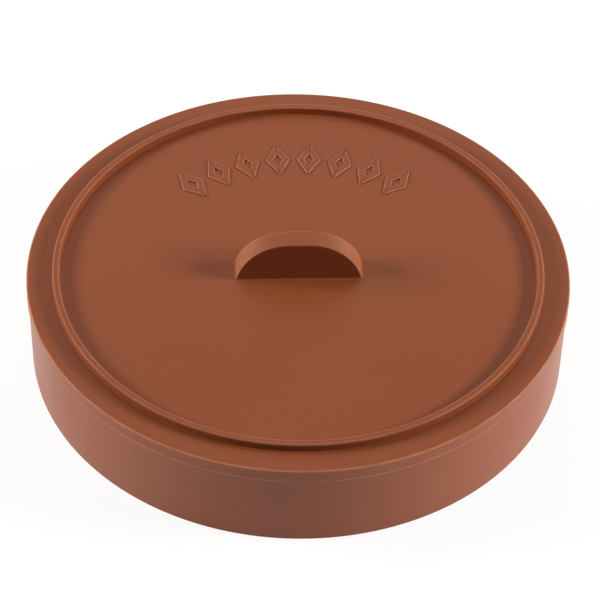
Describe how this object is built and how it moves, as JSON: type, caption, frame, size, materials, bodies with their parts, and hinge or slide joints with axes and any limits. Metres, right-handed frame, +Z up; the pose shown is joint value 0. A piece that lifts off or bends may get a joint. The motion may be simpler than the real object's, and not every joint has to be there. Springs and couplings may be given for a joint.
{
  "type": "tortilla warmer",
  "caption": "Low round two-piece tortilla warmer: a plain dish and a flat lid with a raised ring bead, a D-shaped grip and a band of raised lozenges.",
  "frame": {"origin": "centre of the face that the dish rests on", "axes": "+Z up along the lift of the lid, +X along the handle, +Y towards the raised ornament"},
  "size_m": [0.27, 0.27, 0.0699],
  "materials": {
    "base_plastic": "satin moulded polypropylene, terracotta",
    "lid_plastic": "satin moulded polypropylene, terracotta"
  },
  "bodies": {
    "base": {"base": "base_plastic"},
    "lid": {"lid": "lid_plastic"}
  },
  "joints": [
    {"name": "lid_lift", "type": "slide", "parent": "base", "child": "lid", "axis": [0, 0, 1], "range_m": [0, 0.12]}
  ]
}
